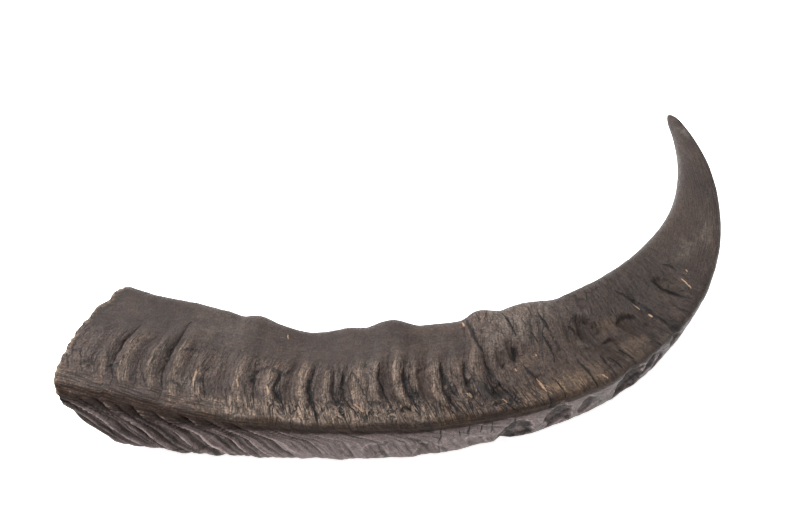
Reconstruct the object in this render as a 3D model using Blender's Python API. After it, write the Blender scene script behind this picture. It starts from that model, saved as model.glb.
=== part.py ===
"""A water buffalo's horn sheath, lying on its side with its tip lifted.

The sheath is one loft along a curve: a blind hollow runs in from the open base, turns over
the rim and becomes the outside, which tapers to the tip.  Thin plane cuts part it into four
named lengths.  Metres, +Z up; the ground is z = 0 and the box of the whole horn is centred
over the origin.

Along the horn, a place is a share of its length: 0 at the base and 1 at the tip.  Round it,
a place is an angle: 0 faces out of the bend, 90 up, 180 into the bend and -90 down.
"""

import math

import bmesh
import bpy
import numpy as np

# ---- Driving sizes, in metres and degrees ----------------------------------------------

HORN_LENGTH = 0.591            # middle line, measured on the ground plan
BASE_PLACE = (-0.2142, -0.0700)  # where the middle line starts on the ground plan
BASE_HEADING = -18.5           # direction of the middle line at the base, from +X
TURN = (42.0, 46.6, 46.0)      # turn by the tip: steady, growing and late parts

WIDTH = ((0.0, 0.101), (0.1, 0.096), (0.2, 0.0915), (0.4, 0.0892), (0.58, 0.0805),
         (0.72, 0.0618), (0.84, 0.0354), (0.93, 0.0172), (1.0, 0.005))
THICKNESS_TO_WIDTH = ((0.0, 0.68), (0.2, 0.66), (0.4, 0.64), (0.58, 0.68),
                      (0.72, 0.75), (0.84, 0.86), (0.93, 0.96), (1.0, 1.0))
TOP_SLOPE = ((0.0, 21.9), (0.7, 9.7), (1.0, 0.0))     # upper face, down towards the keel
KEEL_LEAN = ((0.0, -3.4), (0.7, 15.4), (1.0, 0.0))    # keel face, leaning under the horn
ROLL = ((0.0, 5.9), (0.55, -2.8), (1.0, 1.4))         # whole section, about the middle line

TIP_RISE = 0.0666              # how far the tip is lifted
RISE_START = 0.57
RISE_POWER = 1.6
REST_FLAT = 0.0012             # depth of the underside worn flat where it lies

ROUNDNESS = 5.0                # exponent of the soft polygon that is the section
KEEL_CRISPNESS = 9.0           # added to it at the keel
KEEL_SPREAD = 25.0

# The rim slants: how far it retreats towards the tip, by angle round the horn.
RIM_RETREAT = ((-180, 0.032), (-120, 0.056), (-75, 0.053), (-40, 0.040), (-15, 0.015),
               (10, 0.002), (35, 0.0), (60, 0.001), (95, 0.005), (120, 0.016), (145, 0.025),
               (180, 0.032))
SLANT_REACH = 0.35             # share of the length over which growth lines straighten

WALL_AT_RIM = 0.0045
WALL_DEEP = 0.0095
WALL_GROWS_BY = 0.12
HOLLOW_END = 0.45              # share of the length where the hollow closes to a point

# Swells, growth ribs and hollows: share, half its spread, angle, half its spread, height.
RELIEF = (
    (0.100, 0.070, 128, 70, 0.0018),    # collar over the base
    (0.185, 0.024, 128, 60, 0.0022),    # step behind it
    (0.262, 0.060, 125, 70, -0.0045),   # waist on the inner edge
    (0.360, 0.036, 130, 60, 0.0045),    # knuckle
    (0.474, 0.030, 130, 65, 0.0055),    # step of the great crack
    (0.520, 0.050, 130, 60, 0.0035),
    (0.660, 0.100, 135, 60, 0.0007),
    (0.450, 0.035, -45, 45, -0.0016),   # slack under the keel
    (0.036, 0.013, 60, 62, 0.0012),     # growth ribs of the upper face
    (0.070, 0.013, 62, 62, 0.0018),
    (0.101, 0.013, 64, 60, 0.0014),
    (0.117, 0.009, 70, 60, -0.0016),
    (0.134, 0.017, 66, 58, 0.0013),
    (0.195, 0.016, 62, 52, 0.0012),
    (0.227, 0.016, 64, 52, 0.0010),
    (0.363, 0.022, 66, 30, -0.0026),    # basins in the upper face
    (0.404, 0.020, 62, 30, -0.0024),
    (0.570, 0.026, 78, 34, -0.0022),
    (0.620, 0.026, 80, 30, -0.0020),
    (0.700, 0.018, 68, 36, -0.0012),
)

CUT_SHARES = (0.22, 0.50, 0.75)
CUT_GAP = 0.0003
LENGTHS = ("horn_base", "horn_shaft", "horn_bend", "horn_tip")

SIDES = 36                     # facets round the horn
HOLLOW_ROWS = 20
BASE_ROWS = 40                 # fine rows as far as RIBBED_SHARE
TIP_ROWS = 46
RIBBED_SHARE = 0.36

HORN_COLOURS = ((0.105, 0.088, 0.076), (0.085, 0.073, 0.066),
                (0.072, 0.062, 0.056), (0.052, 0.045, 0.042))
HORN_ROUGHNESS = 0.62


# ---- The form --------------------------------------------------------------------------

def smooth_through(points, share):
    """A smooth curve through (share, value) points that doesn't overshoot between them."""
    x, y = np.array(points, float).T
    gaps = np.diff(x)
    rises = np.diff(y) / gaps
    slopes = np.concatenate([rises[:1], np.zeros(len(x) - 2), rises[-1:]])
    for i in range(1, len(x) - 1):
        if rises[i - 1] * rises[i] > 0:
            before = 2 * gaps[i] + gaps[i - 1]
            after = gaps[i] + 2 * gaps[i - 1]
            slopes[i] = (before + after) / (before / rises[i - 1] + after / rises[i])
    i = np.clip(np.searchsorted(x, share) - 1, 0, len(gaps) - 1)
    t = (share - x[i]) / gaps[i]
    return ((1 + 2 * t) * (1 - t) ** 2 * y[i] + t * t * (3 - 2 * t) * y[i + 1]
            + t * (1 - t) ** 2 * gaps[i] * slopes[i] - t * t * (1 - t) * gaps[i] * slopes[i + 1])


def straight_through(points, share):
    """Straight runs through (share, value) points."""
    x, y = np.array(points, float).T
    return np.interp(share, x, y)


def half_sizes(share):
    """Half the horn's width and half its thickness."""
    width = smooth_through(WIDTH, share)
    return width / 2, width / 2 * smooth_through(THICKNESS_TO_WIDTH, share)


def middle_line(share, steps=600):
    """Points of the middle line and its unit direction there."""
    s = np.linspace(0.0, 1.0, steps + 1)
    heading = np.radians(BASE_HEADING + TURN[0] * s + TURN[1] * s ** 2 + TURN[2] * s ** 3)
    line = np.zeros((steps + 1, 3))
    for axis, pace in enumerate((np.cos(heading), np.sin(heading))):
        run = np.cumsum((pace[1:] + pace[:-1]) / 2) * HORN_LENGTH / steps
        line[:, axis] = BASE_PLACE[axis] + np.concatenate([[0.0], run])
    risen = np.clip((s - RISE_START) / (1 - RISE_START), 0, None) ** RISE_POWER
    line[:, 2] = half_sizes(s)[1] - REST_FLAT + TIP_RISE * risen
    along = np.gradient(line, axis=0)
    along[:, 2] *= np.clip((s - 0.3) / 0.3, 0, 1)

    def at_share(values):
        return np.stack([np.interp(share, s, values[:, k]) for k in range(3)], -1)

    direction = at_share(along)
    return at_share(line), direction / np.linalg.norm(direction, axis=-1, keepdims=True)


def section(share, angle, half_width, half_thickness):
    """Offsets out of the bend and up, round a soft polygon with a crisp keel."""
    top = np.radians(straight_through(TOP_SLOPE, share))
    keel = np.radians(straight_through(KEEL_LEAN, share))
    top_reach = half_thickness * np.cos(top) - 0.35 * half_width * np.sin(top)
    keel_reach = 0.98 * half_width * np.cos(keel)
    meet = np.sin(top) * np.sin(keel) + np.cos(top) * np.cos(keel)
    keel_out = (top_reach * np.sin(keel) + keel_reach * np.cos(top)) / meet
    keel_up = (top_reach * np.cos(keel) - keel_reach * np.sin(top)) / meet
    keel_angle = np.arctan2(keel_up / half_thickness, keel_out / half_width)
    corner = 0.86 * np.hypot(half_width, half_thickness)
    faces = ((math.pi / 2 - top, top_reach), (-keel, keel_reach),
             (-math.pi / 2, half_thickness), (math.pi, half_width),
             (math.radians(135), corner), (math.radians(225), corner))
    bearing = np.arctan2(np.sin(angle) * half_thickness, np.cos(angle) * half_width)
    from_keel = np.degrees((angle - keel_angle + math.pi) % (2 * math.pi) - math.pi)
    crisp = np.exp(-(from_keel / KEEL_SPREAD) ** 2) * np.clip((0.85 - share) / 0.3, 0, 1)
    power = ROUNDNESS + KEEL_CRISPNESS * crisp
    total = sum((np.clip(np.cos(bearing - face), 0, None) / reach) ** power
                for face, reach in faces)
    radius = total ** (-1 / power)
    return radius * np.cos(bearing), radius * np.sin(bearing)


def relief(share, angle):
    """How far the surface stands proud of, or below, the plain section."""
    height = np.zeros(np.shape(share))
    for at, reach, bearing, spread, rise in RELIEF:
        turn = (np.degrees(angle) - bearing + 180) % 360 - 180
        along = np.clip(1 - ((share - at) / reach) ** 2, 0, None)
        across = np.clip(1 - (turn / spread) ** 2, 0, None)
        height += rise * along ** 2 * across ** 2
    return height


def place(share, angle, inside):
    """Points of the outer surface, or of the hollow's wall, at shares and angles."""
    half_width, half_thickness = half_sizes(share)
    centre, along = middle_line(share)
    out = np.stack([along[..., 1], -along[..., 0], np.zeros(np.shape(share))], -1)
    out /= np.linalg.norm(out, axis=-1, keepdims=True)
    up = np.cross(out, along)
    roll = np.radians(straight_through(ROLL, share))[..., None]
    out, up = out * np.cos(roll) + up * np.sin(roll), up * np.cos(roll) - out * np.sin(roll)

    if inside:
        wall = WALL_AT_RIM + (WALL_DEEP - WALL_AT_RIM) * np.clip(share / WALL_GROWS_BY, 0, 1)
        closing = np.sqrt(np.clip(1 - (share / HOLLOW_END) ** 2.2, 0, 1))
        far_out, far_up = section(share, angle, half_width, half_thickness)
        far_out = far_out * (1 - wall / half_width) * closing
        far_up = far_up * (1 - wall / half_thickness) * closing
    else:
        far_out, far_up = section(share, angle, half_width, half_thickness)
        radius = np.hypot(far_out, far_up)
        proud = 1 + relief(share, angle) / radius
        far_out, far_up = far_out * proud, far_up * proud

    bearing = np.arctan2(far_up / half_thickness, far_out / half_width)
    retreat = smooth_through(RIM_RETREAT, np.degrees(bearing))
    retreat = retreat * np.clip(1 - share / SLANT_REACH, 0, 1) ** 1.5
    if inside:
        retreat = retreat * closing
    spots = centre + far_out[..., None] * out + far_up[..., None] * up + retreat[..., None] * along
    spots[..., 2] = np.maximum(spots[..., 2], 0.0)
    return spots


# ---- The solids ------------------------------------------------------------------------

def horn_rows():
    """The shares of the loft's rows: from the hollow's end out to the rim, then to the tip."""
    hollow = HOLLOW_END * np.sin(np.linspace(math.pi / 2, 0, HOLLOW_ROWS))
    ribbed = np.linspace(0, RIBBED_SHARE, BASE_ROWS)
    plain = np.linspace(RIBBED_SHARE, 1, TIP_ROWS + 1)[1:]
    return np.concatenate([hollow, ribbed, plain])


def whole_horn():
    """The horn as one closed mesh: a grid wrapped round and along, closed at both ends."""
    rows = horn_rows()
    bm = bmesh.new()
    bmesh.ops.create_grid(bm, x_segments=SIDES, y_segments=len(rows) - 1, size=1.0)
    spots = np.array([vert.co for vert in bm.verts])
    angle = spots[:, 0] * math.pi
    row = np.rint((spots[:, 1] + 1) / 2 * (len(rows) - 1)).astype(int)
    share = rows[row]
    inside = row < HOLLOW_ROWS
    placed = np.where(inside[:, None], place(share, angle, True), place(share, angle, False))
    tip = row == len(rows) - 1
    placed[tip] = placed[tip].mean(axis=0)
    for vert, spot in zip(bm.verts, placed):
        vert.co = spot
    bmesh.ops.remove_doubles(bm, verts=bm.verts, dist=1e-6)
    bmesh.ops.recalc_face_normals(bm, faces=bm.faces)
    return bm


def cut_off(bm, share, side):
    """Cut square across the horn, dropping what lies towards the base (-1) or tip (+1)."""
    centre, along = (values[0] for values in middle_line(np.array([share])))
    bmesh.ops.bisect_plane(
        bm, geom=bm.verts[:] + bm.edges[:] + bm.faces[:], dist=1e-6,
        plane_co=centre - side * along * CUT_GAP / 2, plane_no=along * side, clear_outer=True)
    rims = [edge for edge in bm.edges if edge.is_boundary]
    hollow_is_open = share < HOLLOW_END
    if hollow_is_open:
        bmesh.ops.bridge_loops(bm, edges=rims)
    else:
        bmesh.ops.contextual_create(bm, geom=rims)


def horn_material(name, colour):
    material = bpy.data.materials.new(name)
    material.use_nodes = True
    shader = material.node_tree.nodes["Principled BSDF"]
    shader.inputs["Base Color"].default_value = (*colour, 1.0)
    shader.inputs["Roughness"].default_value = HORN_ROUGHNESS
    shader.inputs["Metallic"].default_value = 0.0
    return material


def horn_length(name, start, end, colour, collection):
    """One named length of the horn, between two cuts or an end and a cut."""
    bm = whole_horn()
    if start is not None:
        cut_off(bm, start, -1)
    if end is not None:
        cut_off(bm, end, 1)
    bmesh.ops.recalc_face_normals(bm, faces=bm.faces)
    mesh = bpy.data.meshes.new(name)
    bm.to_mesh(mesh)
    bm.free()
    mesh.shade_smooth()
    mesh.set_sharp_from_angle(angle=math.radians(35))
    mesh.materials.append(horn_material(name + "_keratin", colour))
    collection.objects.link(bpy.data.objects.new(name, mesh))


def main():
    for thing in list(bpy.data.objects):
        bpy.data.objects.remove(thing, do_unlink=True)
    collection = bpy.data.collections.new("buffalo_horn")
    bpy.context.scene.collection.children.link(collection)
    starts = (None, *CUT_SHARES)
    ends = (*CUT_SHARES, None)
    for name, start, end, colour in zip(LENGTHS, starts, ends, HORN_COLOURS):
        horn_length(name, start, end, colour, collection)


main()
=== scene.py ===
"""Looks of a water buffalo's horn sheath: one seamless shell with growth ribs, basins, cracks
and a ragged rim, in dry dark keratin, on a plain pale floor.

Along the horn, a place is a share of its length: 0 at the base and 1 at the tip.  Round it,
a place is an angle: 0 faces out of the bend, 90 up, 180 into the bend and -90 down.
"""

import math
from types import SimpleNamespace

import bmesh
import bpy
import numpy as np
from mathutils import Euler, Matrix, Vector, noise


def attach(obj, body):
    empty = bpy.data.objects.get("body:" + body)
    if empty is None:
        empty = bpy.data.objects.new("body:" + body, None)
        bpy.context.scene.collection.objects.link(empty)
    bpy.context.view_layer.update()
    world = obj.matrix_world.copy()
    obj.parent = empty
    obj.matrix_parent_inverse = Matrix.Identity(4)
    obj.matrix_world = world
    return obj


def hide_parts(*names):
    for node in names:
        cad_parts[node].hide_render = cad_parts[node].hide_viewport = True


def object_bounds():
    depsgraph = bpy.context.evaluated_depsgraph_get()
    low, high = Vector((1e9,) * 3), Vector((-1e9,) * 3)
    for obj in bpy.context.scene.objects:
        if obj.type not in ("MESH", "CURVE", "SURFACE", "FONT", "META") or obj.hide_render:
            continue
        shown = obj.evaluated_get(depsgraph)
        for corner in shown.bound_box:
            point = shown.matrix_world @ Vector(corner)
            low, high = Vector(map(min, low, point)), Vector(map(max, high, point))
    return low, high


bl_info = {
    "name": "Buffalo Horn",
    "version": (1, 0, 0),
    "blender": (4, 5, 0),
    "location": "View3D > Sidebar > Horn",
    "description": "Models and dresses a hollow buffalo horn sheath",
    "category": "Object",
}

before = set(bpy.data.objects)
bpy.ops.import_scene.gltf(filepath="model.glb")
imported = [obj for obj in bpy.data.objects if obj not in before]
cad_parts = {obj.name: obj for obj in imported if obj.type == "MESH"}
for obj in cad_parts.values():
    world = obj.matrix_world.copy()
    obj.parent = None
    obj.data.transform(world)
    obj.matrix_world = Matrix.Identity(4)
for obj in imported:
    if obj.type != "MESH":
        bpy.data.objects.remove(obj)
CAD_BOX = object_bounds()
HORN_NODES = ("horn_base", "horn_shaft", "horn_bend", "horn_tip")

# ---- The form's sizes, in metres, degrees and shares: the solids' own but for the tip ----

BASE_PLACE = (-0.2142, -0.07)  # middle of the base, on the ground plan
BASE_HEADING = -18.5
TURN = (42.0, 46.6, 46.0)  # by the share, its square and its cube
WIDTH = ((0.0, 0.101), (0.1, 0.096), (0.2, 0.0915), (0.4, 0.0892), (0.58, 0.0805),
         (0.72, 0.0618), (0.84, 0.036), (0.93, 0.0188), (1.0, 0.006))
THICKNESS_TO_WIDTH = ((0.0, 0.68), (0.2, 0.66), (0.4, 0.64), (0.58, 0.68),
                      (0.72, 0.75), (0.84, 0.86), (0.93, 0.96), (1.0, 1.0))
TOP_SLOPE = ((0.0, 21.9), (0.7, 9.7), (1.0, 0.0))
KEEL_LEAN = ((0.0, -3.4), (0.7, 15.4), (1.0, 0.0))
ROLL = ((0.0, 5.9), (0.55, -2.8), (1.0, 1.4))
RISE_START = 0.57  # from here the tip lifts off the floor
RISE_POWER = 1.6
UPRIGHT_UNTIL, LEANS_FROM = 0.3, 0.6  # sections stand upright, then follow the rise
REST_FLAT = 0.0012  # how deep the horn is worn flat where it lies
TOP_PIVOT = 0.35  # where the upper face tilts about, of the half width
KEEL_REACH = 0.98  # of the half width
CORNER_REACH = 0.86  # of the half diagonal
ROUNDNESS = 5.0  # the higher, the sharper the section's edges
KEEL_CRISPNESS = 9.0
KEEL_SPREAD = 25.0
KEEL_SOFTENS, KEEL_GONE = 0.55, 0.85
RIM_RETREAT = ((-180, 0.032), (-120, 0.058), (-75, 0.057), (-40, 0.044), (-15, 0.019),
               (10, 0.003), (35, 0.0), (60, 0.001), (95, 0.005), (120, 0.016), (145, 0.025),
               (180, 0.032))
SLANT_REACH = 0.35  # the base's slant has died away here
WALL_DEEP = 0.0095
WALL_GROWS_BY = 0.12
HOLLOW_END = 0.45
CARVED_TO = 0.73  # the ribbed stretch, which has closer rows
TIP_ROUND = 0.985  # from here the tip is domed

SURFACE_LENGTH = 0.66  # along the keel, for marks placed by share
SEAM_ANGLE = -112.0  # where the wrapped grid closes, underneath
BACK_ANGLE = -165.0  # middle of the hidden faces
INNER_SIDE = (185, 240)  # where the quiet inner side ends, past 180
IN_HOLLOW, ON_EDGE = 1.0, 0.5  # what a row of the grid is marked with, and 0 outside

# ---- What the surface carries ----

# Heights, depths, gaps and half widths of cracks are in mm, and all else in shares and
# degrees.

# Broad swells and hollows: share, half its spread, angle, half its spread, height.
SWELLS = (
    (0.1, 0.07, 128, 70, 1.8), (0.185, 0.024, 128, 60, 2.2), (0.252, 0.06, 125, 70, -5),
    (0.36, 0.036, 130, 60, 4.5), (0.474, 0.03, 130, 65, 5), (0.53, 0.055, 130, 60, 4.2),
    (0.66, 0.1, 135, 60, 0.7), (0.45, 0.035, -45, 45, -1.6), (0.57, 0.026, 76, 38, -2.2),
    (0.618, 0.02, 70, 30, -1.6), (0.493, 0.013, 84, 18, -1.4), (0.505, 0.01, 45, 14, -1),
    (0.6, 0.026, 0, 16, -1.8), (0.643, 0.016, 14, 14, -1.6),
)

# Ragged dents with a steep side towards the base, given as the swells are, as depths. Each gets
# painted shade; those above the keel are darkest on their base side, where shade falls.
DENTS = (
    (0.58, 0.021, 72, 30, 3.8), (0.594, 0.013, 50, 16, 3), (0.629, 0.016, 60, 20, 3),
    (0.641, 0.009, 44, 12, 1.6), (0.472, 0.007, 80, 16, 1.8), (0.491, 0.008, 86, 14, 1.8),
    (0.505, 0.007, 42, 12, 1.2), (0.536, 0.012, 62, 18, 1), (0.703, 0.01, 66, 22, 1.8),
    (0.462, 0.01, 42, 13, 1.8), (0.366, 0.008, 38, 9, 1), (0.409, 0.007, 37, 8, 1),
    (0.47, 0.024, -24, 34, 3.2), (0.516, 0.02, -14, 36, 3.6), (0.549, 0.01, -8, 24, 1.8),
    (0.6, 0.024, -8, 36, 4.2), (0.629, 0.012, 2, 26, 3), (0.645, 0.007, -12, 22, 2.2),
    (0.665, 0.011, 8, 28, 3.2), (0.681, 0.007, -6, 20, 2), (0.694, 0.009, 4, 24, 2.2),
    (0.712, 0.007, -4, 18, 1.4), (0.428, 0.016, -26, 24, 1.1), (0.385, 0.016, -28, 22, 1.1),
    (0.33, 0.016, -26, 20, 0.8),
)
ABOVE_KEEL = 30  # a dent centred above this angle is on the upper face
DARK_DENT = 2.6  # depth at which a dent is fully dark

# Growth ribs across the upper face: share, half width, height, lowest and highest angle.
RIBS = (
    (0.022, 0.008, 0.8, 24, 98), (0.041, 0.008, 1.5, 22, 106), (0.063, 0.01, 2.7, 20, 110),
    (0.092, 0.009, 1.8, 24, 112), (0.117, 0.01, 2.1, 20, 116), (0.143, 0.01, 2.1, 22, 96),
    (0.164, 0.008, 0.8, 30, 92), (0.187, 0.012, 1.9, 22, 106), (0.222, 0.01, 2.4, 20, 104),
    (0.255, 0.011, 2.4, 20, 112), (0.281, 0.009, 2.2, 20, 102), (0.314, 0.011, 2.4, 22, 112),
    (0.333, 0.011, 1.8, 30, 116), (0.357, 0.01, 3, 26, 116), (0.377, 0.01, 1.8, 46, 116),
    (0.397, 0.011, 3, 24, 110), (0.421, 0.012, 1.5, 26, 118), (0.441, 0.01, 1.6, 36, 124),
)

# Grooves and basins: share, half width, depth, lowest and highest angle, how much further
# than the growth lines the lower end hooks towards the tip, and half width of its crack.
GROOVES = (
    (0.031, 0.005, 0.5, 22, 104, 0, 0), (0.052, 0.006, 1.1, 20, 112, 0, 0.5),
    (0.081, 0.005, 0.8, 22, 114, 0, 0), (0.105, 0.006, 1.3, 18, 122, 0, 0.6),
    (0.131, 0.005, 0.7, 22, 112, 0, 0), (0.153, 0.006, 1, 26, 84, 0, 0.3),
    (0.173, 0.006, 0.4, 26, 104, 0, 0), (0.206, 0.005, 1.2, 24, 92, 0, 0.6),
    (0.232, 0.005, 1.4, 24, 92, 0, 0.9), (0.244, 0.008, 1.5, 22, 116, 0.002, 0),
    (0.267, 0.006, 1.7, 18, 102, 0.002, 0.9), (0.291, 0.005, 1.4, 18, 96, 0.008, 0.8),
    (0.303, 0.008, 1.7, 22, 94, 0.01, 0.6), (0.345, 0.01, 3.1, 20, 104, 0.024, 0),
    (0.367, 0.005, 1.4, 30, 100, 0.008, 1), (0.387, 0.01, 2.6, 20, 100, 0.022, 0),
    (0.407, 0.005, 1.9, 24, 100, 0.008, 1), (0.432, 0.005, 1.6, 28, 98, 0.006, 1),
    (0.456, 0.006, 2.2, 24, 124, 0.01, 0), (0.473, 0.004, 1.2, 26, 66, 0.01, 0),
    (0.654, 0.005, 1.9, 30, 112, 0.002, 0), (0.697, 0.0065, 1.4, 38, 98, 0, 0),
)
BASIN_WIDTH = 0.0075  # a groove this wide is a round-bottomed basin
UNDERCUT = 1.2  # depth of the line just below the keel
ORDINARY_CRACK = 1.2  # half width of a crack as deep as the settings say
MARK_FADES = (5, 9)  # how far from its line a crack or scar dies away
NO_MARK = 20  # the gap where there is no crack or scar

# Cracks: share and angle at the upper end, the same at the lower end, bow, half width.
CRACKS = (
    (0.453, 136, 0.456, 90, -0.002, 1), (0.456, 92, 0.48, 27, -0.007, 0.9),
    (0.454, 66, 0.478, 22, -0.007, 0.6), (0.462, 62, 0.48, 32, -0.004, 0.6),
    (0.446, 68, 0.458, 36, -0.002, 0.6), (0.372, 80, 0.381, 42, -0.004, 0.5),
    (0.378, 66, 0.388, 38, -0.004, 0.4), (0.412, 76, 0.42, 42, -0.004, 0.5),
    (0.417, 64, 0.427, 38, -0.003, 0.4), (0.236, 62, 0.238, 34, 0, 0.4),
    (0.271, 60, 0.275, 32, -0.002, 0.4), (0.296, 62, 0.303, 32, -0.002, 0.4),
    (0.438, 66, 0.444, 44, -0.002, 0.4), (0.342, 92, 0.352, 36, -0.006, 0.5),
    (0.498, 123, 0.5, 98, 0.001, 0.6), (0.516, 103, 0.52, 88, 0.001, 0.5),
    (0.538, 114, 0.54, 96, 0.001, 0.5), (0.529, 96, 0.528, 60, 0.003, 0.6),
    (0.493, 94, 0.489, 74, 0.001, 1), (0.484, 84, 0.5, 80, 0.001, 0.6),
    (0.477, 76, 0.47, 68, 0, 0.8), (0.496, 70, 0.503, 46, 0, 0.6),
    (0.506, 34, 0.504, 14, 0.001, 0.6), (0.52, 44, 0.522, 24, 0.001, 0.4),
    (0.552, 58, 0.556, 24, 0.001, 0.6), (0.577, 52, 0.58, 26, 0.001, 0.5),
    (0.588, 44, 0.59, 30, 0, 0.4), (0.564, 98, 0.568, 84, 0.001, 0.6),
    (0.65, 110, 0.664, 36, 0.001, 0.9), (0.697, 92, 0.704, 42, -0.002, 0.8),
    (0.722, 96, 0.726, 70, 0.003, 0.6), (0.47, 16, 0.469, -6, 0.001, 0.7),
    (0.447, 16, 0.446, -8, 0.001, 0.6), (0.437, 14, 0.437, -4, 0, 0.4),
    (0.425, 16, 0.424, -6, 0, 0.5), (0.416, 12, 0.416, -6, 0, 0.4),
    (0.397, 16, 0.396, -8, 0, 0.5), (0.602, 46, 0.606, 26, 0, 0.5), (0.636, 42, 0.64, 26, 0, 0.5),
)

# Fresh tan scars, given as the cracks are.
SCARS = (
    (0.503, 50, 0.507, 34, 0, 0.9), (0.72, 61, 0.718, 44, 0.001, 0.5),
    (0.736, 64, 0.733, 58, 0, 0.5), (0.652, 84, 0.655, 70, 0, 0.7),
    (0.657, 60, 0.659, 53, 0, 0.7), (0.429, 50, 0.433, 42, 0, 1.1),
    (0.446, 126, 0.447, 118, 0, 0.8), (0.143, 66, 0.146, 42, -0.002, 0.8),
    (0.188, 62, 0.192, 52, 0.001, 0.7), (0.222, 58, 0.225, 46, 0, 0.7),
    (0.312, 44, 0.322, 36, 0.001, 1.1), (0.463, 38, 0.468, 31, 0, 1),
    (0.486, 68, 0.487, 62, 0, 0.7), (0.511, 78, 0.513, 74, 0, 0.6), (0.566, 36, 0.57, 28, 0, 0.7),
    (0.23, 118, 0.234, 113, 0, 0.5),
)

# Flutes of the keel face: where each starts, and its depth.
FLUTES = (
    (-0.044, 2), (-0.02, 2.4), (0.008, 1.2), (0.029, 2.8), (0.046, 1.4), (0.071, 3), (0.094, 1.4),
    (0.126, 3), (0.15, 1.2), (0.18, 2), (0.214, 1.8), (0.248, 2), (0.286, 2), (0.33, 1.8),
    (0.372, 1.8), (0.412, 1.4), (0.445, 1.8),
)
FLUTE_WIDTH = 0.0095  # half width, as a share of the length
DEEP_FLUTE = 2.4  # depth at which a flute is fully light and dark
RIPPLE_PITCH = 0.009
RIPPLE_HEIGHT = 0.45

# How far the growth lines run towards the tip: at the upper face's inner side, at the
# keel, over the keel face and under it.
UPPER_SWEEP = 0.016
LOWER_SWEEP = 0.01
FACE_SWEEP = 0.04
UNDER_SWEEP = 0.014

# Dusty patches and umber patches: share, reach, angle, spread, strength.
DUSTY = (
    (0.74, 0.06, 20, 13, 0.9), (0.86, 0.06, 8, 18, 0.6), (0.97, 0.03, 90, 70, 0.8),
    (0.5, 0.055, 112, 30, 1), (0.54, 0.06, 118, 26, 0.7), (0.575, 0.02, 70, 12, 0.8),
    (0.47, 0.016, 100, 22, 0.7), (0.33, 0.03, 84, 30, 0.5), (0.15, 0.06, 112, 26, 0.4),
    (0.76, 0.03, 80, 26, 0.8), (0.8, 0.04, 60, 24, 0.5), (0.655, 0.02, 24, 16, 0.8),
    (0.62, 0.02, 10, 16, 0.6), (0.14, 0.022, 48, 12, 0.7), (0.2, 0.03, 22, 9, 0.8),
    (0.27, 0.04, 22, 8, 0.7), (0.33, 0.03, 24, 8, 0.7), (0.385, 0.02, 23, 7, 0.5),
    (0.49, 0.026, 112, 22, 1),
)
UMBER = (
    (0.5, 0.02, 72, 16, 0.3), (0.53, 0.07, 32, 20, 1), (0.5, 0.05, 26, 14, 0.8),
    (0.62, 0.03, 40, 14, 0.7), (0.4, 0.05, 24, 10, 0.7), (0.3, 0.06, 22, 9, 0.6),
    (0.2, 0.06, 18, 9, 0.6), (0.7, 0.03, 66, 20, 0.5), (0.61, 0.02, 76, 16, 0.5),
)

# Growth steps of the hidden faces: share, and height of the step.
STEPS = (
    (0.055, 1.4), (0.1, 1.8), (0.142, 1.5), (0.19, 2), (0.245, 1.4), (0.3, 1.8), (0.352, 1.2),
    (0.41, 1.6), (0.47, 1.8), (0.535, 1.3), (0.6, 1),
)
STEP_LENGTH = 0.04

# Random lumps, by the size of their features, in metres.
BROAD, MIDDLING, FINE = 0.045, 0.016, 0.006
CHIP, NICK = 0.01, 0.0035

MM = 0.001

# ---- The stage ----

KEY_PLACE, KEY_SIDE = (-2.1, 0.9, 2.0), 1.6
TOP_PLACE, TOP_SIDE = (0.0, 0.5, 3.0), 2.4
AIM = (-0.0035, 0.0601)  # of the camera, from the middle of the horn
SENSOR_WIDTH = 36.0  # in mm
SAME_PLACE = 1e-6  # points nearer than this are one point


# ---- Numbers along and round the horn ----

def smooth_through(points, share):
    """A smooth curve through (share, value) points that doesn't overshoot between them."""
    x, y = np.array(points, float).T
    gaps = np.diff(x)
    rises = np.diff(y) / gaps
    slopes = np.concatenate([rises[:1], np.zeros(len(x) - 2), rises[-1:]])
    for i in range(1, len(x) - 1):
        if rises[i - 1] * rises[i] > 0:
            before = 2 * gaps[i] + gaps[i - 1]
            after = gaps[i] + 2 * gaps[i - 1]
            slopes[i] = (before + after) / (before / rises[i - 1] + after / rises[i])
    i = np.clip(np.searchsorted(x, share) - 1, 0, len(gaps) - 1)
    t = (share - x[i]) / gaps[i]
    return ((1 + 2 * t) * (1 - t) ** 2 * y[i] + t * t * (3 - 2 * t) * y[i + 1]
            + t * (1 - t) ** 2 * gaps[i] * slopes[i] - t * t * (1 - t) * gaps[i] * slopes[i + 1])


def straight_through(points, share):
    """Straight runs through (share, value) points."""
    x, y = np.array(points, float).T
    return np.interp(share, x, y)


def unit(value):
    """The value, held between 0 and 1."""
    return np.clip(value, 0, 1)


def ease(value, low, high):
    """0 at low and 1 at high, with soft ends."""
    t = unit((value - low) / (high - low))
    return t * t * (3 - 2 * t)


def bell(value):
    """A soft bump of height 1 and half width 1."""
    return np.clip(1 - value * value, 0, None) ** 2


def turn_from(angle, bearing):
    """Degrees round the horn from bearing to angle, between -180 and 180."""
    return (np.degrees(angle) - bearing + 180) % 360 - 180


def half_sizes(share, horn):
    """Half the horn's width and half its thickness."""
    width = smooth_through(WIDTH, share) * horn.girth
    return width / 2, width / 2 * smooth_through(THICKNESS_TO_WIDTH, share)


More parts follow.
